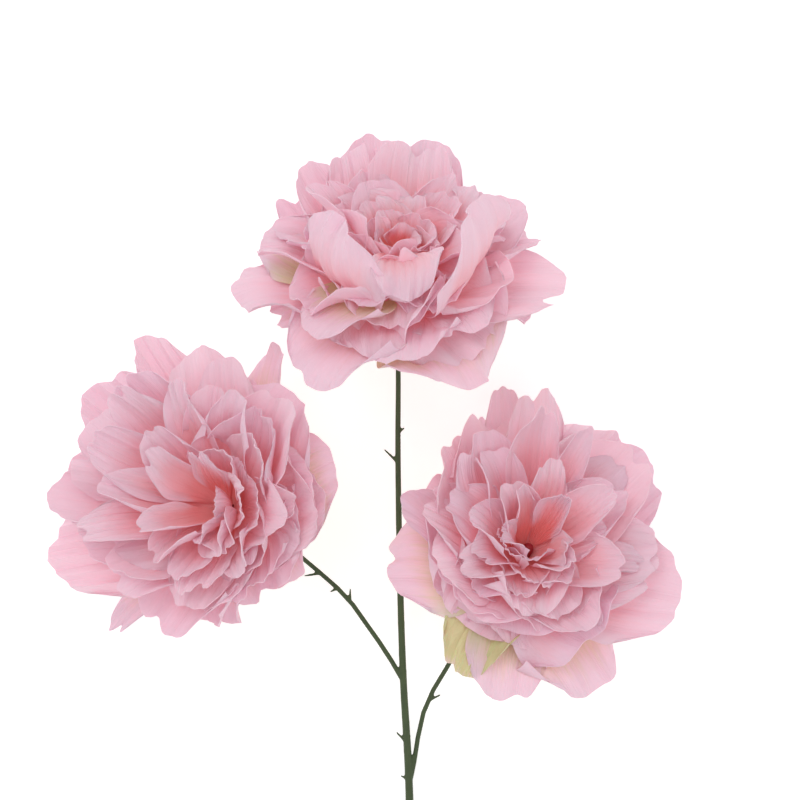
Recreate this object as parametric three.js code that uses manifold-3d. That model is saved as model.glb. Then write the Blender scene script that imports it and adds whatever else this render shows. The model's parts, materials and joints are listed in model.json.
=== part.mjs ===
// A cut spray of three double peonies on one thin branched stem, lying on a surface at z = 0.
// Millimetres, +Z up. The stem runs along Y with its cut end at -Y. The origin is under the spray's middle.

import * as THREE from 'three';
import { mergeVertices } from 'three/addons/utils/BufferGeometryUtils.js';
import Module from 'manifold-3d';

const wasm = await Module();
wasm.setup();

// Driving sizes
const petalReach = 64; // foot to tip of an outer ring's petal, along the petal
const petalThickness = 0.8;
const ringCount = 8;
const ringSpacing = 2; // between the feet of two rings, along the bloom's axis
const ringPetals = [8, 4]; // petals in the outermost and in the innermost ring
const ringFootAngles = [88, 36]; // degrees from the bloom's axis, outermost and innermost
const ringTipAngles = [66, -14];
const ringShortening = 0.25; // share that the innermost ring's petals are shorter
const lobeDepth = 0.4; // how far in the gaps between a ring's petals reach, as a share of the petal
const guardCount = 6;
const guardReach = 60; // foot to tip of a guard petal
const guardFootAngle = 92;
const guardTipAngle = 94; // before a petal's own droop is added
const guardCup = 5; // how far a guard petal's edges stand above its middle
const guardRounding = 0.35; // share that a guard petal is shorter at its edges than in its middle
const guardTipWidth = 0.7; // width kept at the tip
const pinRadius = 2.5; // the pin that the rings are threaded on
const cupRadius = 5.7; // the green cup that holds the guard petals
const cupLength = 12;
const stemRootRadius = 2.1;
const stemNeckRadius = 1.0;
const branchRootRadius = 1.1;
const branchNeckRadius = 0.95;
const tailLength = 112; // stem below the lower fork
const stemEndAcross = 5;
const neckStraight = 4; // straight stretch of each stem below its cup
const stemStep = 10; // between two sections of a stem
const twigRadius = 0.8;
const clearance = 0.3; // between pieces that touch

const radians = THREE.MathUtils.degToRad;
const { lerp } = THREE.MathUtils;

const petalPink = new THREE.Color(0.86, 0.55, 0.64);
const guardPink = new THREE.Color(0.88, 0.68, 0.76);
const stemGreen = new THREE.Color(0.2, 0.27, 0.16);
const cupGreen = new THREE.Color(0.36, 0.44, 0.22);

// The three blooms. A place is counted in petal lengths, so the blooms keep clear of each other at any size.
// A bloom's petals are longer by the share swept on the side it leans to, and shorter on the other.
// Droops are the degrees that its guard petals hang below level.
const blooms = [
  {
    name: 'top',
    place: [-0.015, 3.19],
    faces: [0.02, 0.78, 0.62],
    roll: 8,
    swept: 0.04,
    droops: [4, 10, 16, 10, 4, 0],
  },
  {
    name: 'left',
    place: [-0.981, 1.8],
    faces: [-0.45, 0.18, 0.87],
    roll: 20,
    swept: 0.3,
    droops: [8, 0, 4, 14, 10, 2],
  },
  {
    name: 'right',
    place: [0.735, 1.47],
    faces: [0.24, 0.42, 0.88],
    roll: 35,
    swept: 0.12,
    droops: [2, 6, 0, 4, 8, 4],
  },
];

// Each stem: waypoints across and along in petal lengths, and the share of its bloom's height reached there.
// A branch leaves the main stem at one of the main stem's waypoints. A twig stands to one side of the stem.
const stems = [
  {
    name: 'main_stem',
    bloom: 'top',
    radii: [stemRootRadius, stemNeckRadius],
    waypoints: [
      [0.06, 0.02, 0.1],
      [0.023, 0.7, 0.2],
      [0.004, 1.26, 0.3],
      [-0.012, 2.19, 0.56],
      [-0.01, 2.72, 0.8],
    ],
    twigs: [
      { along: 0.37, side: -1, lean: 55, length: 4 },
      { along: 0.42, side: -1, lean: 40, length: 6.5 },
      { along: 0.795, side: -1, lean: 45, length: 8 },
      { along: 0.835, side: 1, lean: 50, length: 3.5 },
    ],
  },
  {
    name: 'left_branch',
    bloom: 'left',
    fork: 1,
    radii: [branchRootRadius, branchNeckRadius],
    waypoints: [
      [-0.08, 0.875, 0.3],
      [-0.206, 1.06, 0.38],
      [-0.344, 1.25, 0.48],
      [-0.694, 1.57, 0.72],
    ],
    twigs: [
      { along: 0.42, side: 1, lean: 40, length: 5.5 },
      { along: 0.5, side: 1, lean: -70, length: 3.5 },
      { along: 0.6, side: -1, lean: 50, length: 7 },
    ],
  },
  {
    name: 'right_branch',
    bloom: 'right',
    fork: 0,
    radii: [branchRootRadius, branchNeckRadius],
    waypoints: [
      [0.1, 0.22, 0.22],
      [0.125, 0.38, 0.23],
      [0.175, 0.56, 0.25],
      [0.31, 0.8, 0.32],
      [0.5, 1.13, 0.58],
    ],
    twigs: [
      { along: 0.35, side: 1, lean: 40, length: 6 },
      { along: 0.6, side: 1, lean: 60, length: 3.5 },
    ],
  },
];

function finish(color, roughness) {
  return new THREE.MeshStandardMaterial({ color, roughness, metalness: 0 });
}

// A point on a petal's side view: an arc that leaves the pin at the foot angle and turns to the tip angle.
// Angles are from the bloom's axis. lift moves the point off the sheet's middle, towards the bloom's centre.
function arcPoint({ footRadius, footHeight, footAngle, tipAngle, reach }, travel, lift) {
  const bend = tipAngle - footAngle;
  const angle = footAngle + (bend * travel) / reach;
  const radius = footRadius + (reach / bend) * (Math.cos(footAngle) - Math.cos(angle));
  const height = footHeight + (reach / bend) * (Math.sin(angle) - Math.sin(footAngle));
  return { radius: radius - lift * Math.cos(angle), height: height + lift * Math.sin(angle) };
}

// A thin closed sheet from a grid of points on its two faces. Both faces split each square along the same
// diagonal, so the sheet keeps its thickness. A wrapped sheet closes round the bloom's axis.
// pointAt(column, share of the way to the tip, face) gives a point, with face -0.5 or 0.5.
function sheet({ columns, rows, wraps }, pointAt) {
  const lines = wraps ? columns : columns + 1;
  const points = [];
  for (const face of [-0.5, 0.5]) {
    for (let column = 0; column < lines; column++) {
      for (let row = 0; row <= rows; row++) {
        points.push(pointAt(column, row / rows, face));
      }
    }
  }
  const index = [];
  const quad = (a, b, c, d) => index.push(a, b, c, a, c, d);
  const outer = (column, row) => (column % lines) * (rows + 1) + row;
  const inner = (column, row) => lines * (rows + 1) + outer(column, row);
  for (let column = 0; column < columns; column++) {
    const next = column + 1;
    for (let row = 0; row < rows; row++) {
      quad(inner(column, row), inner(column, row + 1), inner(next, row + 1), inner(next, row));
      quad(outer(column, row), outer(next, row), outer(next, row + 1), outer(column, row + 1));
    }
    quad(inner(column, 0), inner(next, 0), outer(next, 0), outer(column, 0));
    quad(inner(column, rows), outer(column, rows), outer(next, rows), inner(next, rows));
  }
  for (let row = 0; row < rows && !wraps; row++) {
    quad(inner(0, row), outer(0, row), outer(0, row + 1), inner(0, row + 1));
    quad(inner(columns, row), inner(columns, row + 1), outer(columns, row + 1), outer(columns, row));
  }
  const geometry = new THREE.BufferGeometry().setFromPoints(points);
  geometry.setIndex(index);
  geometry.computeVertexNormals();
  return geometry;
}

// One ring of petals joined at the foot: a turned sheet, trimmed to round lobes.
function petalRing(order, swept, leanTurn) {
  const inward = order / (ringCount - 1);
  const petals = Math.round(lerp(...ringPetals, inward));
  const arc = {
    footRadius: pinRadius + clearance + petalThickness / 2,
    footHeight: order * ringSpacing,
    footAngle: radians(lerp(...ringFootAngles, inward)),
    tipAngle: radians(lerp(...ringTipAngles, inward)),
    reach: petalReach * (1 - ringShortening * inward * inward),
  };
  const columnsPerPetal = 4;
  const columns = columnsPerPetal * petals;
  return sheet({ columns, rows: 3, wraps: true }, (column, share, face) => {
    const turn = (column / columns) * 2 * Math.PI + order;
    const lobe = Math.sqrt(Math.sin(((column % columnsPerPetal) / columnsPerPetal) * Math.PI));
    const sweep = 1 + swept * Math.cos(turn - leanTurn);
    const length = arc.reach * lerp(1 - lobeDepth, 1, lobe) * sweep;
    const point = arcPoint(arc, share * length, face * petalThickness);
    return new THREE.Vector3(point.radius * Math.cos(turn), point.radius * Math.sin(turn), point.height);
  });
}

// One guard petal along +X: a cupped, drooping sheet with a round end, as wide as its share of the bloom.
function guardPetal(droop, reach) {
  const arc = {
    footRadius: cupRadius + clearance,
    footHeight: -ringSpacing - petalThickness,
    footAngle: radians(guardFootAngle),
    tipAngle: radians(guardTipAngle + droop),
    reach,
  };
  const columns = 4;
  return sheet({ columns, rows: 5, wraps: false }, (column, share, face) => {
    const across = (2 * column) / columns - 1;
    const travel = share * reach * (1 - guardRounding * across * across * share);
    const lift = face * petalThickness + guardCup * across * across * share;
    const point = arcPoint(arc, travel, lift);
    const room = point.radius * Math.tan(Math.PI / guardCount) - clearance;
    return new THREE.Vector3(point.radius, across * room * lerp(1, guardTipWidth, share ** 3), point.height);
  });
}

// The green cup under the petals with the pin that carries the rings, turned in one piece.
function receptacle() {
  const cupTop = -petalThickness / 2 - clearance;
  const pinTop = ringCount * ringSpacing + petalThickness;
  const outline = [
    [0, -cupLength],
    [stemNeckRadius + 1, -cupLength],
    [cupRadius * 0.7, -cupLength * 0.6],
    [cupRadius, -ringSpacing * 2],
    [cupRadius, cupTop],
    [pinRadius, cupTop],
    [pinRadius, pinTop],
    [pinRadius * 0.6, pinTop + pinRadius * 0.8],
    [0, pinTop + pinRadius],
  ].map(([radius, height]) => new THREE.Vector2(radius, height));
  return new THREE.LatheGeometry(outline, 12).rotateX(Math.PI / 2);
}

function buildBloom({ name, place, faces, roll, swept, droops }) {
  const bloom = new THREE.Group();
  const axis = new THREE.Vector3(...faces).normalize();
  bloom.quaternion.setFromUnitVectors(new THREE.Vector3(0, 0, 1), axis);
  bloom.rotateZ(radians(roll));
  const lean = new THREE.Vector3(axis.x, axis.y, 0).applyQuaternion(bloom.quaternion.clone().invert());
  const leanTurn = Math.atan2(lean.y, lean.x);
  const addPiece = (label, geometry, color, turn = 0) => {
    const piece = new THREE.Mesh(geometry, finish(color, 0.9));
    piece.name = `${name}_${label}`;
    piece.rotation.z = turn;
    bloom.add(piece);
  };
  addPiece('receptacle', receptacle(), cupGreen);
  for (let order = 0; order < guardCount; order++) {
    const turn = (order / guardCount) * 2 * Math.PI;
    const reach = guardReach * (1 + swept * Math.cos(turn - leanTurn));
    const geometry = guardPetal(droops[order % droops.length], reach);
    addPiece(`guard_petal_${order + 1}`, geometry, guardPink, turn);
  }
  for (let order = 0; order < ringCount; order++) {
    addPiece(`petal_ring_${order + 1}`, petalRing(order, swept, leanTurn), petalPink);
  }
  bloom.position.set(place[0] * petalReach, place[1] * petalReach, 0);
  bloom.position.z = -new THREE.Box3().setFromObject(bloom, true).min.z;
  bloom.userData.neck = bloom.position.clone().addScaledVector(axis, -cupLength - clearance);
  bloom.userData.axis = axis;
  return bloom;
}

function toSolid(geometry) {
  geometry.deleteAttribute('normal');
  geometry.deleteAttribute('uv');
  const merged = mergeVertices(geometry);
  return new wasm.Manifold(
    new wasm.Mesh({
      numProp: 3,
      vertProperties: new Float32Array(merged.attributes.position.array),
      triVerts: new Uint32Array(merged.index.array),
    }),
  );
}

function toGeometry(solid) {
  const mesh = solid.getMesh();
  const geometry = new THREE.BufferGeometry();
  geometry.setAttribute('position', new THREE.BufferAttribute(mesh.vertProperties, 3));
  geometry.setIndex(new THREE.BufferAttribute(mesh.triVerts, 1));
  geometry.computeVertexNormals();
  return geometry;
}

// A round tube along a curve, tapering from the first radius to the second.
function tube(curve, [startRadius, endRadius], steps, growth = 0) {
  const section = new THREE.Shape().absarc(0, 0, 1, 0, 2 * Math.PI);
  const options = { steps, curveSegments: 4, bevelEnabled: false, extrudePath: curve };
  const geometry = new THREE.ExtrudeGeometry(section, options);
  const centres = curve.getSpacedPoints(steps);
  const position = geometry.attributes.position;
  const point = new THREE.Vector3();
  for (let i = 0; i < position.count; i++) {
    point.fromBufferAttribute(position, i);
    const gaps = centres.map((centre) => centre.distanceToSquared(point));
    const nearest = gaps.indexOf(Math.min(...gaps));
    const radius = lerp(startRadius, endRadius, nearest / steps) + growth;
    point.sub(centres[nearest]).multiplyScalar(radius).add(centres[nearest]);
    position.setXYZ(i, point.x, point.y, point.z);
  }
  return toSolid(geometry);
}

function twig(curve, { along, side, lean, length }) {
  const foot = curve.getPointAt(along);
  const tangent = curve.getTangentAt(along);
  const direction = tangent.clone().applyAxisAngle(new THREE.Vector3(0, 0, 1), -side * radians(lean));
  const geometry = new THREE.CylinderGeometry(twigRadius * 0.5, twigRadius, length, 6);
  geometry.translate(0, length / 2, 0);
  const turn = new THREE.Quaternion().setFromUnitVectors(new THREE.Vector3(0, 1, 0), direction);
  geometry.applyQuaternion(turn);
  geometry.translate(foot.x, foot.y, foot.z);
  return toSolid(geometry);
}

function stemCurve({ waypoints, radii }, start, bloom) {
  const { neck, axis } = bloom.userData;
  const inner = waypoints.map(([across, along, rise]) => {
    return new THREE.Vector3(across * petalReach, along * petalReach, lerp(radii[0], neck.z, rise));
  });
  const bend = neck.clone().addScaledVector(axis, -neckStraight);
  return new THREE.CatmullRomCurve3([start, ...inner, bend, neck], false, 'centripetal');
}

const spray = new THREE.Group();
const bloomByName = new Map(blooms.map((spec) => [spec.name, buildBloom(spec)]));
bloomByName.forEach((bloom) => spray.add(bloom));

let mainStem;
for (const spec of stems) {
  const bloom = bloomByName.get(spec.bloom);
  const start = mainStem
    ? mainStem.curve.points[spec.fork + 1].clone()
    : new THREE.Vector3(stemEndAcross, -tailLength, stemRootRadius);
  const curve = stemCurve(spec, start, bloom);
  const steps = Math.round(curve.getLength() / stemStep);
  let solid = tube(curve, spec.radii, steps);
  for (const stub of spec.twigs) {
    solid = solid.add(twig(curve, stub));
  }
  if (mainStem) {
    solid = solid.subtract(mainStem.room);
  } else {
    mainStem = { curve, room: tube(curve, spec.radii, steps, clearance) };
  }
  const mesh = new THREE.Mesh(toGeometry(solid), finish(stemGreen, 0.7));
  mesh.name = spec.name;
  spray.add(mesh);
}

const box = new THREE.Box3().setFromObject(spray, true);
spray.position.set(-(box.min.x + box.max.x) / 2, -(box.min.y + box.max.y) / 2, -box.min.z);

export default spray;
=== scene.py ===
import json
import math
import random

import bpy
import numpy as np
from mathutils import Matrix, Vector

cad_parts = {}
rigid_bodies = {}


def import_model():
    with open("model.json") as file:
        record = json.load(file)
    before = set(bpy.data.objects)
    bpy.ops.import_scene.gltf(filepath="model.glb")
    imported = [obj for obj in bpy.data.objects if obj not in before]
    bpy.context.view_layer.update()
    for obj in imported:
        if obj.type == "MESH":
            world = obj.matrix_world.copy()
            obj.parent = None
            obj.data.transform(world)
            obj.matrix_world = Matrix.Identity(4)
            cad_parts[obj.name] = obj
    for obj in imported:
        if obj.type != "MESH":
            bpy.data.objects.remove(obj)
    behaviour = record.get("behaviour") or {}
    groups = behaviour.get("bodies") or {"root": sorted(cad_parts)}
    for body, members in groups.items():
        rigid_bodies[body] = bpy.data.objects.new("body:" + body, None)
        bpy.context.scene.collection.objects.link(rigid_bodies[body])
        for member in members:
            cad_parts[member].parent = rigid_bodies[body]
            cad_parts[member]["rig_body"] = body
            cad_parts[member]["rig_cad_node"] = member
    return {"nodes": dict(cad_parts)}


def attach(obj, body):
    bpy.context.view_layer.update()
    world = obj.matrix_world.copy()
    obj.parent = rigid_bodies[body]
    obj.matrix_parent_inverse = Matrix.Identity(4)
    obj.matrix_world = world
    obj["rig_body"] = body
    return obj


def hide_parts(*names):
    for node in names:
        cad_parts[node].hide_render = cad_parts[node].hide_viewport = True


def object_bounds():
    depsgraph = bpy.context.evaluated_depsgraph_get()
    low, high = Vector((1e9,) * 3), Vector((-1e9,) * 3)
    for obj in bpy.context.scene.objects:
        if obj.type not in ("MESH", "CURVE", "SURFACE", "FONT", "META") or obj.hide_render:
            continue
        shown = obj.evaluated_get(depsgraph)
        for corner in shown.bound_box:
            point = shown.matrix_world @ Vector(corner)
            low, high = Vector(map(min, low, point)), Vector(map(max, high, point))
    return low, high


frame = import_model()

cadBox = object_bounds()
nodes = frame["nodes"]


def clearSelection():
    for item in bpy.context.selected_objects:
        item.select_set(False)
    bpy.context.view_layer.objects.active = None


def makeActive(item):
    clearSelection()
    item.select_set(True)
    bpy.context.view_layer.objects.active = item


def applyModifier(item, kind, **settings):
    makeActive(item)
    modifier = item.modifiers.new(kind.title(), kind)
    for name, value in settings.items():
        setattr(modifier, name, value)
    bpy.ops.object.modifier_apply(modifier=modifier.name)


def joined(items, name):
    clearSelection()
    for item in items:
        item.select_set(True)
    bpy.context.view_layer.objects.active = items[0]
    if len(items) > 1:
        bpy.ops.object.join()
    piece = bpy.context.view_layer.objects.active
    piece.name = name
    return piece


def coat(piece, material):
    piece.data.materials.clear()
    piece.data.materials.append(material)


def meshPoints(mesh):
    flat = np.empty(len(mesh.vertices) * 3)
    mesh.vertices.foreach_get("co", flat)
    return flat.reshape(-1, 3)


def smoothStep(value):
    value = np.clip(value, 0, 1)
    return value * value * (3 - 2 * value)


# Shader maths: a Wire holds one socket, and arithmetic on it adds Math nodes.
class Wire:
    def __init__(self, paint, socket):
        self.paint = paint
        self.socket = socket

    def calculate(self, operation, *values):
        return self.paint.node("ShaderNodeMath", {"operation": operation}, dict(enumerate(values)))[0]

    def __add__(self, other):
        return self.calculate("ADD", self, other)

    def __radd__(self, other):
        return self.calculate("ADD", other, self)

    def __sub__(self, other):
        return self.calculate("SUBTRACT", self, other)

    def __rsub__(self, other):
        return self.calculate("SUBTRACT", other, self)

    def __mul__(self, other):
        return self.calculate("MULTIPLY", self, other)

    def __rmul__(self, other):
        return self.calculate("MULTIPLY", other, self)

    def limited(self):
        return self.calculate("MINIMUM", self.calculate("MAXIMUM", self, 0), 1)


class Outlets:
    def __init__(self, paint, made):
        self.paint = paint
        self.made = made

    def __getitem__(self, key):
        return Wire(self.paint, self.made.outputs[key])


class Paint:
    def __init__(self, name, fixed):
        self.material = bpy.data.materials.new(name)
        self.material.use_nodes = True
        self.tree = self.material.node_tree
        self.shader = next(n for n in self.tree.nodes if n.type == "BSDF_PRINCIPLED")
        for socket, value in fixed.items():
            self.shader.inputs[socket].default_value = value

    def node(self, kind, settings=None, values=None):
        made = self.tree.nodes.new(kind)
        for name, value in (settings or {}).items():
            setattr(made, name, value)
        for socket, value in (values or {}).items():
            if isinstance(value, Wire):
                self.tree.links.new(value.socket, made.inputs[socket])
            else:
                made.inputs[socket].default_value = value
        return Outlets(self, made)

    def mix(self, share, first, second, blend="MIX"):
        settings = {"data_type": "RGBA", "blend_type": blend}
        return self.node("ShaderNodeMix", settings, {0: share, 6: first, 7: second})[2]

    def fade(self, value, start, end):  # 0 at start, 1 at end
        settings = {"interpolation_type": "SMOOTHSTEP"}
        places = {"Value": value, "From Min": start, "From Max": end}
        return self.node("ShaderNodeMapRange", settings, places)[0]

    def attribute(self, name):
        return self.node("ShaderNodeAttribute", {"attribute_name": name})["Fac"]

    def noise(self, where, scale, detail=3.0, roughness=0.5):
        return self.node(
            "ShaderNodeTexNoise",
            {},
            {"Vector": where, "Scale": scale, "Detail": detail, "Roughness": roughness},
        )["Fac"]

    def stretched(self, where, scale):
        return self.node("ShaderNodeMapping", {}, {"Vector": where, "Scale": scale})["Vector"]

    def feed(self, socket, wire):
        self.tree.links.new(wire.socket, self.shader.inputs[socket])

    def bump(self, height, distance, strength, under=None):
        values = {"Height": height, "Distance": distance, "Strength": strength}
        if under is not None:
            values["Normal"] = under
        return self.node("ShaderNodeBump", {}, values)["Normal"]


petalCloth = {
    "foot": (0.86, 0.21, 0.20, 1),
    "middle": (0.88, 0.37, 0.41, 1),
    "blade": (0.85, 0.51, 0.61, 1),
    "rim": (0.83, 0.60, 0.70, 1),
    "lilac": (0.72, 0.51, 0.64, 1),
    "cream": (0.58, 0.58, 0.30, 1),
    "pale": (0.92, 0.62, 0.70, 1),
    # The next two set painted light: the petals glow faintly in their own colour times this tint, which
    # lifts and reddens their shaded crevices.
    "glowTint": (1.0, 0.62, 0.62, 1),
    "glow": 0.10,
    "weave": 260 / 6,
    "weaveDepth": 0.00006,
    "streaks": 34,
    "foldDepth": 0.0010,
    "roughness": 0.75,
    "gloss": 0.2,
    "sheen": 0.1,
    "seeThrough": 0.3,
    "seeThroughColour": (0.9, 0.35, 0.4),
    "seeThroughDepth": 0.004,
}


# A bloom's own directions, read from its frame nodes: outward at turn 0 is the side it leans to.
def readBloom(name):
    cup = np.unique(np.round(meshPoints(nodes[f"{name}_receptacle"].data), 6), axis=0)
    middle = cup.mean(0)
    axis = np.linalg.svd(cup - middle)[2][0]
    along = (cup - middle) @ axis
    away = np.linalg.norm((cup - middle) - np.outer(along, axis), axis=1)
    if away[along > 0].mean() > away[along < 0].mean():
        axis, along = -axis, -along
    wide = away > away.max() * 0.95
    centre = middle + axis * (along[wide].max() + 0.0007)
    lean = np.array([axis[0], axis[1], 0])
    lean -= axis * (lean @ axis)
    lean /= np.linalg.norm(lean)
    return {"centre": centre, "axis": axis, "lean": lean, "side": np.cross(axis, lean)}


petalBlank = {"columns": 24, "rows": 32, "thickness": 0.00025, "flattenBelow": 0.004, "lowest": 0.0006}

# What every petal starts from, in metres and degrees. Angles are from the bloom's axis.
plainPetal = {
    "turn": 0, "length": 0.060, "width": 0.050, "footRadius": 0.003, "footHeight": 0,
    "foot": 85, "tip": 60, "bendPower": 1.0, "curl": 10, "claw": 0.22, "widest": 0.62, "close": 0.12,
    "round": 0.5, "point": 2.0, "notch": 0.05, "notchAt": 0.1, "nibble": 0.012, "cup": 0.006, "lap": 0.003,
    "pleat": 0.0009, "pleats": 5, "ruffle": 0.0018, "ruffles": 5, "hem": 0.0015, "wave": 0.0015,
    "sway": 0.0, "twist": 0, "phase": 0, "tone": 0.5, "green": 0, "lilac": 0.3, "paintedDepthShade": 0,
}


def shapePetal(blank, petal, bloom):
    u, v = blank[:, 0], (blank[:, 1] + 1) / 2
    phase = petal["phase"]
    body = np.sin(np.pi / 2 * np.minimum(1, v / petal["widest"])) ** 1.15
    outline = petal["claw"] + (1 - petal["claw"]) * body
    outline *= 1 - petal["close"] * np.clip((v - petal["widest"]) / (1 - petal["widest"]), 0, 1) ** 2
    across = u * outline * petal["width"] / 2
    cutIn = petal["round"] * (1 - np.sqrt(1 - 0.97 * np.abs(u) ** petal["point"]))
    cutIn += petal["notch"] * np.exp(-(((u - petal["notchAt"]) / 0.16) ** 2))
    cutIn += petal["nibble"] * (np.sin(7.3 * u + phase) + 0.5 * np.sin(17 * u + 2.3 * phase))
    travel = np.clip(v * (1 - cutIn * v ** 1.5), 0, 1)

    steps = np.linspace(0, 1, 61)
    angles = petal["foot"] + (petal["tip"] - petal["foot"]) * steps ** petal["bendPower"]
    angles = np.radians(angles + petal["curl"] * smoothStep((steps - 0.68) / 0.32))
    size = petal["length"] / 60
    reach = np.concatenate([[0], np.cumsum((np.sin(angles[1:]) + np.sin(angles[:-1])) / 2)]) * size
    rise = np.concatenate([[0], np.cumsum((np.cos(angles[1:]) + np.cos(angles[:-1])) / 2)]) * size
    angle = np.interp(travel, steps, angles)
    radius = petal["footRadius"] + np.interp(travel, steps, reach)
    height = petal["footHeight"] + np.interp(travel, steps, rise)

    blade = smoothStep(v * 1.6)
    scale = petal["width"] / 0.05  # narrow petals ripple less
    edge = np.clip(np.sqrt(u ** 2 + np.clip((v - 0.3) / 0.7, 0, 1) ** 2), 0, 1.15) ** 4
    around = np.arctan2(u, v - 0.25)
    lift = petal["cup"] * u ** 2 * blade * scale + petal["lap"] * u * blade * scale
    pleats = np.sin(np.pi * petal["pleats"] * u + phase + v)
    lift += petal["pleat"] * pleats * v ** 0.6 * (1 - 0.4 * v) * scale
    lift += petal["ruffle"] * np.sin(petal["ruffles"] * around + 1.7 * phase) * edge * scale
    lift += 0.35 * petal["ruffle"] * np.sin(2.3 * petal["ruffles"] * around + 2.9 * phase) * edge * scale
    rolled = smoothStep((np.abs(u) - 0.55) / 0.45)
    lift -= petal["hem"] * rolled * blade * (1 + 0.6 * np.sin(phase * 3 + u)) * scale
    wander = np.sin(2.1 * u + 3.7 * v + phase) + 0.7 * np.sin(3.3 * u - 5.1 * v + 2 * phase)
    lift += petal["wave"] * wander * blade * v * (0.4 + 0.6 * scale)
    across = across + petal["sway"] * v ** 2 * petal["length"]
    across = across + 0.6 * petal["wave"] * np.sin(6 * v + phase) * v
    turnOver = np.radians(petal["twist"]) * v
    cosine = np.cos(turnOver)
    sine = np.sin(turnOver)
    across, lift = across * cosine - lift * sine, across * sine + lift * cosine

    radius = radius - lift * np.cos(angle)
    height = height + lift * np.sin(angle)
    turn = math.radians(petal["turn"])
    outward = math.cos(turn) * bloom["lean"] + math.sin(turn) * bloom["side"]
    sideways = np.cross(bloom["axis"], outward)
    points = bloom["centre"] + np.outer(height, bloom["axis"])
    points = points + np.outer(radius, outward) + np.outer(across, sideways)
    low = petalBlank["flattenBelow"]  # petals flatten where they meet the surface
    lowest = petalBlank["lowest"]
    flattened = lowest + (low - lowest) * np.exp((points[:, 2] - low) / (low - lowest))
    points[:, 2] = np.where(points[:, 2] < low, flattened, points[:, 2])
    return points


# What the guard petals share, then each ring from the outside in: how many petals, and what they share.
guardStyle = {
    "footRadius": 0.006, "footHeight": -0.0028, "foot": 92, "tip": 104, "curl": 14, "length": 0.062,
    "width": 0.054, "claw": 0.3, "round": 0.5, "cup": 0.005, "ruffle": 0.0016, "lilac": 0.5,
    "pleat": 0.0008, "green": 1.0, "tone": 0.8,
}
ringStyles = [
    {"count": 8, "foot": 88, "tip": 72, "curl": 18, "length": 0.062, "width": 0.052, "cup": 0.006},
    {"count": 8, "foot": 82, "tip": 60, "curl": 16, "length": 0.062, "width": 0.046, "cup": 0.008},
    {
        "count": 8, "foot": 75, "tip": 52, "curl": 14, "length": 0.061, "width": 0.038,
        "round": 0.38, "cup": 0.009,
    },
    {
        "count": 8, "foot": 68, "tip": 46, "curl": 14, "length": 0.059, "width": 0.031,
        "round": 0.38, "cup": 0.010,
    },
    {
        "count": 8, "foot": 60, "tip": 40, "curl": 14, "length": 0.056, "width": 0.026,
        "round": 0.38, "cup": 0.012, "pleat": 0.0010,
    },
    {
        "count": 7, "foot": 52, "tip": 32, "curl": 14, "length": 0.052, "width": 0.022,
        "round": 0.38, "cup": 0.012, "pleat": 0.0012,
    },
    {
        "count": 6, "foot": 44, "tip": 24, "curl": 14, "length": 0.047, "width": 0.018,
        "round": 0.38, "cup": 0.012, "pleat": 0.0012,
    },
    {
        "count": 5, "foot": 34, "tip": 10, "curl": 10, "length": 0.040, "width": 0.015,
        "round": 0.38, "cup": 0.010, "pleat": 0.0012,
    },
]

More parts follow.
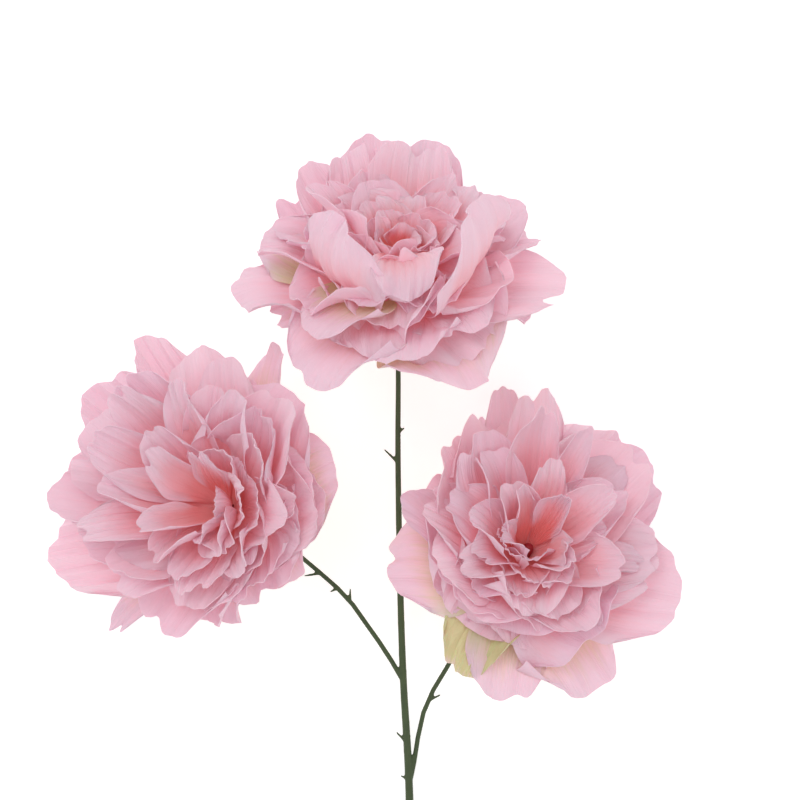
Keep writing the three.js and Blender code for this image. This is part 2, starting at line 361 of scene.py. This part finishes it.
# Ring petals are up to far times as long on the side that a bloom leans to and near times on the other,
# where they also open by spread degrees more, both less so in the inner rings. A guard row is its turn from
# its frame place, length, width and tip angle. A special petal is named by its ring, or guard, and its place
# there, both counted from 0.
blooms = {
    "top": {
        "seed": 58, "heart": 0.35, "depth": 2.2,
        "far": 1.25, "near": 0.7, "spread": 15,
        "guards": [
            [-8, 0.048, 0.03, 104],
            [0, 0.06, 0.05, 100],
            [10, 0.06, 0.06, 90],
            [5, 0.045, 0.03, 104],
            [-12, 0.053, 0.05, 112],
            [-3, 0.051, 0.058, 112],
        ],
        "special": {
            (0, 0): {"turn": 8, "length": 0.076, "width": 0.044, "tip": 56, "curl": 0},
            (1, 7): {"turn": -14, "length": 0.069, "width": 0.036, "tip": 52, "curl": 0},
            (1, 0): {"turn": 39, "length": 0.064, "width": 0.038, "tip": 52, "curl": 0},
            (0, 7): {"turn": -55, "length": 0.062, "width": 0.036, "tip": 55, "curl": 0},
            (2, 5): {
                "turn": -115, "length": 0.068, "width": 0.054, "foot": 100, "tip": -40,
                "curl": 0, "cup": 0.004, "pleat": 0.0008, "tone": 0.8, "ruffle": 0.002,
            },
            ("guard", 4): {"green": 0.4, "lilac": 0.8},
            ("guard", 3): {"green": 1.4},
            (0, 3): {
                "turn": 142, "length": 0.05, "width": 0.036, "foot": 84, "tip": 92,
                "curl": 10, "footHeight": 0.006, "green": 1.0, "tone": 0.4,
            },
            (2, 2): {
                "turn": 130, "length": 0.064, "width": 0.044, "foot": 100, "tip": -40, "curl": 0,
                "cup": 0.004, "pleat": 0.0013, "tone": 0.9, "lilac": 1, "ruffle": 0.003, "ruffles": 6,
            },
            (5, 2): {
                "turn": 186, "length": 0.034, "width": 0.03, "foot": 50, "tip": 120, "curl": 30,
                "footHeight": 0.02, "footRadius": 0.005, "lilac": 1, "tone": 1,
                "ruffle": 0.003, "pleat": 0.0014, "paintedDepthShade": 0,
            },
            (4, 7): {
                "turn": 20, "length": 0.037, "width": 0.03, "tip": 25, "curl": 6,
                "cup": 0.006, "pleat": 0.0003, "tone": 1, "lilac": 1, "paintedDepthShade": 0,
            },
        },
    },
    "left": {
        "seed": 96, "heart": 0.95, "depth": 0.9,
        "far": 1.25, "near": 0.5, "spread": 0,
        "guards": [
            [6, 0.036, 0.046, 104],
            [4, 0.066, 0.02, 104],
            [0, 0.06, 0.05, 100],
            [16, 0.078, 0.016, 104],
            [-5, 0.04, 0.034, 104],
            [-15, 0.029, 0.036, 104],
        ],
        "special": {
            (4, 0): {
                "turn": 44, "length": 0.047, "width": 0.036, "tip": 60,
                "curl": 5, "lilac": 1, "tone": 0.9,
            },
            (0, 1): {
                "turn": 35, "length": 0.082, "width": 0.05, "tip": 70,
                "curl": 8, "pleat": 0.0022, "pleats": 7,
            },
            (1, 7): {
                "turn": 8, "length": 0.072, "width": 0.044, "tip": 60,
                "curl": 8, "pleat": 0.0022, "pleats": 7,
            },
            (0, 0): {
                "turn": -16, "length": 0.082, "width": 0.05, "tip": 70,
                "curl": 0, "pleat": 0.0022, "pleats": 7,
            },
            (0, 7): {
                "turn": -37, "length": 0.082, "width": 0.032, "tip": 70,
                "curl": 0, "pleat": 0.0022, "pleats": 7,
            },
            ("guard", 0): {"green": 1.2},
            ("guard", 5): {"green": 1.2},
            ("guard", 4): {"green": 0.8},
            (5, 3): {
                "turn": -109, "length": 0.027, "width": 0.02, "tip": 30,
                "curl": 20, "lilac": 1, "tone": 1,
            },
        },
    },
    "right": {
        "seed": 62, "heart": 0.8, "depth": 1.0,
        "far": 1.2, "near": 0.5, "spread": 15,
        "guards": [
            [0, 0.06, 0.05, 100],
            [0, 0.06, 0.042, 90],
            [28, 0.047, 0.046, 104],
            [26, 0.046, 0.03, 104],
            [-10, 0.05, 0.036, 104],
            [-30, 0.055, 0.052, 104],
        ],
        "special": {
            (0, 6): {"turn": -74, "length": 0.065, "width": 0.052, "tip": 75, "curl": 0},
            (0, 7): {"turn": -23, "length": 0.07, "width": 0.052, "tip": 75, "curl": 0},
            (0, 1): {"turn": 32, "length": 0.073, "width": 0.026, "tip": 75, "curl": 0},
            (1, 1): {"turn": 98, "length": 0.053, "width": 0.03, "tip": 75, "curl": 0, "lilac": 1},
            ("guard", 3): {"green": 3.0, "curl": 0},
            ("guard", 2): {"lilac": 1, "green": 0.9},
            (5, 0): {
                "turn": 108, "length": 0.035, "width": 0.024, "tip": 40,
                "curl": 20, "lilac": 1, "tone": 1,
            },
            (5, 6): {
                "turn": 64, "length": 0.026, "width": 0.014, "tip": 40,
                "curl": 20, "lilac": 1, "tone": 1,
            },
            (5, 5): {
                "turn": -3, "length": 0.031, "width": 0.015, "tip": 40,
                "curl": 20, "lilac": 1, "tone": 1,
            },
            (5, 4): {
                "turn": -50, "length": 0.034, "width": 0.02, "tip": 40,
                "curl": 20, "lilac": 1, "tone": 1,
            },
        },
    },
}

ringRoot = {"rise": 0.002, "radius": 0.0028}  # how much higher each ring's foot is, and how far out

# Set on a special ring petal before its own values, so that chance doesn't twist it out of them.
calmPetal = {"sway": 0, "twist": 0, "bendPower": 1, "notch": 0.03, "ruffle": 0.0012, "wave": 0.0012}


def vary(petal, chance, amount=1.0):
    petal["turn"] += chance.uniform(-9, 9) * amount
    petal["tip"] += chance.uniform(-18, 18) * amount
    petal["curl"] += chance.uniform(-28, 36) * amount
    petal["bendPower"] = chance.uniform(0.75, 1.5)
    petal["length"] *= 1 + chance.uniform(-0.14, 0.08) * amount
    petal["width"] *= 1 + chance.uniform(-0.22, 0.24) * amount
    petal["round"] += chance.uniform(-0.12, 0.12)
    petal["notch"] = chance.uniform(0, 0.11)
    petal["notchAt"] = chance.uniform(-0.5, 0.5)
    petal["cup"] *= chance.uniform(0.1, 2.0)
    petal["ruffle"] *= chance.uniform(0.5, 1.7)
    petal["ruffles"] = chance.uniform(3.0, 7.0)
    petal["pleat"] *= chance.uniform(0.4, 2.0)
    petal["pleats"] = chance.uniform(3, 9)
    petal["wave"] *= chance.uniform(0.5, 1.8)
    petal["twist"] += chance.uniform(-14, 14)
    petal["sway"] += chance.uniform(-0.09, 0.09)
    petal["phase"] = chance.uniform(0, 6.28)
    petal["tone"] = chance.uniform(0, 1)
    petal["lilac"] = min(1, max(0, petal["lilac"] + chance.uniform(-0.25, 0.35)))
    return petal


def nearness(turn):  # 0 on the side that the bloom leans to, 1 on the other
    return (1 - math.cos(math.radians(turn))) / 2


def planBloom(name, bloom):
    plan = blooms[name]
    chance = random.Random(plan["seed"])
    pieces = []
    innermost = len(ringStyles) - 1
    for order, (shift, length, width, tip) in enumerate(plan["guards"]):
        away = meshPoints(nodes[f"{name}_guard_petal_{order + 1}"].data).mean(0) - bloom["centre"]
        turn = math.degrees(math.atan2(away @ bloom["side"], away @ bloom["lean"])) + shift
        petal = vary({**plainPetal, **guardStyle, "turn": turn}, chance, 0)
        petal.update(length=length, width=width, tip=tip)
        petal.update(plan["special"].get(("guard", order), {}))
        pieces.append((f"{name}Guard{order + 1}", f"{name}_guard_petal_{order + 1}", [petal]))
    for order, style in enumerate(ringStyles):
        petals = []
        for step in range(style["count"]):
            turn = 360 * (step + 0.5 * (order % 2)) / style["count"] + 13 * order
            petal = {**plainPetal, **{key: value for key, value in style.items() if key != "count"}}
            petal.update(turn=turn, footHeight=ringRoot["rise"] * order, footRadius=ringRoot["radius"])
            # painted shade: inner rings are shifted towards the darker foot colour, as if shaded deep inside
            # the bloom
            petal["paintedDepthShade"] = plan["depth"] * order / innermost
            petal = vary(petal, chance)
            reach = plan["far"] + (plan["near"] - plan["far"]) * nearness(petal["turn"])
            petal["length"] *= 1 + (reach - 1) * (1 - order / 16)
            petal["length"] *= 1 - (1 - plan["heart"]) * order / innermost
            petal["tip"] += plan["spread"] * nearness(petal["turn"]) * (1 if order < 5 else 0.3)
            if order in (2, 3, 4) and chance.random() < 0.25:  # some of the middle petals are narrow ribbons
                petal["width"] *= 0.6
            if (order, step) in plan["special"]:
                petal.update(calmPetal)
                petal.update(plan["special"][order, step])
            petals.append(petal)
        pieces.append((f"{name}Petals{order + 1}", f"{name}_petal_ring_{order + 1}", petals))
    return pieces


def petalMaterial(name, settings):
    paint = Paint(name, {
        "Roughness": settings["roughness"],
        "Subsurface Weight": settings["seeThrough"],
        "Subsurface Radius": settings["seeThroughColour"],
        "Subsurface Scale": settings["seeThroughDepth"],
        "Sheen Weight": settings["sheen"],
        "Specular IOR Level": settings["gloss"],
        "Emission Strength": settings["glow"],
    })
    uv = paint.node("ShaderNodeUVMap", {"uv_map": "UVMap"})["UV"]
    along = paint.node("ShaderNodeSeparateXYZ", {}, {"Vector": uv})["Y"]
    streaks = paint.noise(paint.stretched(uv, (settings["streaks"], 1.6, 1)), 1.0, 4.0, 0.6)
    body = paint.node("ShaderNodeTexCoord")["Object"]
    cloud = paint.noise(body, 60.0, 2.0)
    # the per-ring depth value shifts inner petals towards the foot colour: painted shade deep in the bloom
    place = along + (streaks - 0.5) * 0.4 + (cloud - 0.5) * 0.25 - paint.attribute("paintedDepthShade") * 0.2
    colour = paint.mix(paint.fade(place, 0.05, 0.45), settings["foot"], settings["middle"])
    colour = paint.mix(paint.fade(place, 0.35, 0.85), colour, settings["blade"])
    rim = paint.attribute("rim")
    colour = paint.mix((rim * (0.75 + (streaks - 0.5) * 0.8)).limited(), colour, settings["rim"])
    lilac = (paint.attribute("lilac") * rim * (0.3 + cloud)).limited()
    colour = paint.mix(lilac * 0.85, colour, settings["lilac"])
    green = paint.attribute("green")
    tone = paint.attribute("tone")
    colour = paint.mix((tone * 0.35).limited(), colour, settings["pale"])
    greenShare = paint.fade(place - green * 0.15, 0.75, 0.2)
    colour = paint.mix((greenShare * green * (0.6 + cloud * 0.8)).limited(), colour, settings["cream"])
    paint.feed("Base Color", colour)
    # painted glow: the petals emit their own colour, reddened, as painted light in their shade
    paint.feed("Emission Color", paint.mix(1.0, colour, settings["glowTint"], "MULTIPLY"))
    threads = {"Vector": uv, "Scale": settings["weave"], "Distortion": 0.6}
    weave = paint.node("ShaderNodeTexWave", {"bands_direction": "X"}, threads)["Fac"]
    cross = paint.node("ShaderNodeTexWave", {"bands_direction": "Y"}, threads)["Fac"]
    folds = paint.bump(streaks, settings["foldDepth"], 0.7)
    paint.feed("Normal", paint.bump(weave * cross, settings["weaveDepth"], 0.5, folds))
    paint.feed("Roughness", settings["roughness"] + (streaks - 0.5) * 0.2)
    return paint.material


def makeBlank():
    clearSelection()
    cells = {"x_subdivisions": petalBlank["columns"], "y_subdivisions": petalBlank["rows"]}
    bpy.ops.mesh.primitive_grid_add(size=2, **cells)
    blank = bpy.context.object
    blank.name = "petalBlank"
    return blank


def markPetal(mesh, blank, petal):
    u, v = blank[:, 0], (blank[:, 1] + 1) / 2
    rim = smoothStep((np.maximum(np.abs(u) * smoothStep(v * 2.2), v ** 1.5) - 0.45) / 0.55)
    values = {"rim": rim}
    for name in ("tone", "green", "lilac", "paintedDepthShade"):
        values[name] = np.full(len(u), petal[name])
    for name, value in values.items():
        mesh.attributes.new(name, "FLOAT", "POINT").data.foreach_set("value", value.astype(np.float32))


def makePiece(name, petals, blank, bloom, material):
    flat = meshPoints(blank.data)
    made = []
    for petal in petals:
        mesh = blank.data.copy()
        item = bpy.data.objects.new(name, mesh)
        bpy.context.collection.objects.link(item)
        mesh.vertices.foreach_set("co", shapePetal(flat, petal, bloom).astype(np.float32).ravel())
        markPetal(mesh, flat, petal)
        mesh.update()
        made.append(item)
    piece = joined(made, name)
    coat(piece, material)
    applyModifier(piece, "SOLIDIFY", thickness=petalBlank["thickness"], offset=0)
    bpy.ops.object.shade_smooth_by_angle(angle=math.radians(50))
    return piece


cloth = petalMaterial("petalCloth", petalCloth)
blank = makeBlank()
for name in blooms:
    bloom = readBloom(name)
    for pieceName, node, petals in planBloom(name, bloom):
        piece = makePiece(pieceName, petals, blank, bloom, cloth)
        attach(piece, "root")
        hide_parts(node)
        "guard_petals" if "Guard" in pieceName else "petals"
    print(name, "bloom made")
bpy.data.objects.remove(blank)

stemFinish = {
    "dark": (0.028, 0.045, 0.024, 1),
    "light": (0.065, 0.095, 0.048, 1),
    "olive": (0.10, 0.14, 0.05, 1),
    # heart: painted shade, the dark red of the bloom's shaded heart, put on the cup's pin
    "heart": (0.30, 0.02, 0.03, 1),
    "roughness": 0.55,
    "gloss": 0.35,
    "ribDepth": 0.0003,
}
stemShape = {"voxel": 0.0004, "smoothing": 3}
cupShape = {"voxel": 0.0006, "smoothing": 6}


def roundedCopy(name, sources, voxel, smoothing):
    made = []
    for source in sources:
        item = nodes[source].copy()
        item.data = nodes[source].data.copy()
        item.parent = None
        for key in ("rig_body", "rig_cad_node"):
            if key in item:
                del item[key]
        bpy.context.collection.objects.link(item)
        made.append(item)
    piece = joined(made, name)
    bpy.ops.object.mode_set(mode="EDIT")
    bpy.ops.mesh.select_all(action="SELECT")
    bpy.ops.mesh.remove_doubles(threshold=0.00001)
    bpy.ops.object.mode_set(mode="OBJECT")
    applyModifier(piece, "REMESH", mode="VOXEL", voxel_size=voxel)
    applyModifier(piece, "SMOOTH", factor=0.5, iterations=smoothing)
    bpy.ops.object.shade_smooth()
    return piece


def stemMaterial():
    fixed = {"Roughness": stemFinish["roughness"], "Specular IOR Level": stemFinish["gloss"]}
    paint = Paint("stemPlastic", fixed)
    body = paint.node("ShaderNodeTexCoord")["Object"]
    ribs = paint.noise(paint.stretched(body, (900, 60, 900)), 1.0, 3.0)
    patches = paint.noise(body, 55.0, 3.0)
    colour = paint.mix((patches * 1.6 - 0.4).limited(), stemFinish["dark"], stemFinish["light"])
    colour = paint.mix((ribs * 0.6).limited(), colour, stemFinish["olive"])
    # the pin above the cup's top takes the heart colour: painted shade
    paint.feed("Base Color", paint.mix(paint.attribute("paintedHeartShade"), colour, stemFinish["heart"]))
    paint.feed("Roughness", 0.45 + ribs * 0.25)
    paint.feed("Normal", paint.bump(ribs, stemFinish["ribDepth"], 0.7))
    return paint.material


green = stemMaterial()
stem = roundedCopy("sprayStem", ["main_stem", "left_branch", "right_branch"], **stemShape)
coat(stem, green)
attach(stem, "root")
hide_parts("main_stem", "left_branch", "right_branch")
for name in blooms:
    cup = roundedCopy(f"{name}Cup", [f"{name}_receptacle"], **cupShape)
    bloom = readBloom(name)  # above the cup's top the pin is dark red, as the heart of the bloom is
    height = (meshPoints(cup.data) - bloom["centre"]) @ bloom["axis"]
    # marks the pin above the bloom's centre for painted shade
    paintedHeartShade = smoothStep((height + 0.001) / 0.002).astype(np.float32)
    cup.data.attributes.new("paintedHeartShade", "FLOAT", "POINT").data.foreach_set("value", paintedHeartShade)
    coat(cup, green)
    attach(cup, "root")
    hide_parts(f"{name}_receptacle")
print("stem and cups made")

shot = {"aimFromMiddle": (0.0145, 0.0799, -0.0155), "above": 1.333, "lens": 150}
studio = {
    "floor": 12,
    "paperDark": (0.82, 0.82, 0.82, 1),
    "paperLight": (0.86, 0.86, 0.86, 1),
    "paperGlow": 0.5,
    "surround": 0.69,
    "softboxes": [
        {"spot": (-0.5, 0.7, 1.6), "size": 1.0, "power": 7},
        {"spot": (0.6, -0.4, 1.7), "size": 1.4, "power": 3},
    ],
}
aim = (Vector(cadBox[0]) + Vector(cadBox[1])) / 2 + Vector(shot["aimFromMiddle"])

clearSelection()
bpy.ops.mesh.primitive_plane_add(size=studio["floor"], location=(0, 0, 0))
floor = bpy.context.object
floor.name = "floor"
paper = Paint("floorPaper", {
    "Roughness": 0.9,
    "Specular IOR Level": 0.1,
    "Emission Color": (1, 1, 1, 1),
    "Emission Strength": studio["paperGlow"],
})
grain = paper.noise(paper.node("ShaderNodeTexCoord")["Object"], 40.0)
paper.feed("Base Color", paper.mix(grain, studio["paperDark"], studio["paperLight"]))
floor.data.materials.append(paper.material)

world = bpy.data.worlds.new("studio")
bpy.context.scene.world = world
world.use_nodes = True
background = world.node_tree.nodes["Background"]
background.inputs["Color"].default_value = (1, 1, 1, 1)
background.inputs["Strength"].default_value = studio["surround"]
for softbox in studio["softboxes"]:
    lamp = bpy.data.lights.new("softbox", "AREA")
    lamp.size = softbox["size"]
    lamp.energy = softbox["power"]
    holder = bpy.data.objects.new("softbox", lamp)
    holder.location = softbox["spot"]
    holder.rotation_euler = (aim - Vector(softbox["spot"])).to_track_quat("-Z", "Y").to_euler()
    bpy.context.collection.objects.link(holder)

lens = bpy.data.cameras.new("camera")
lens.lens = shot["lens"]
lens.clip_end = 20
camera = bpy.data.objects.new("camera", lens)
camera.location = aim + Vector((0, 0, shot["above"]))
bpy.context.collection.objects.link(camera)
bpy.context.scene.camera = camera
bpy.context.scene.view_settings.view_transform = "Standard"

print("studio and camera made")
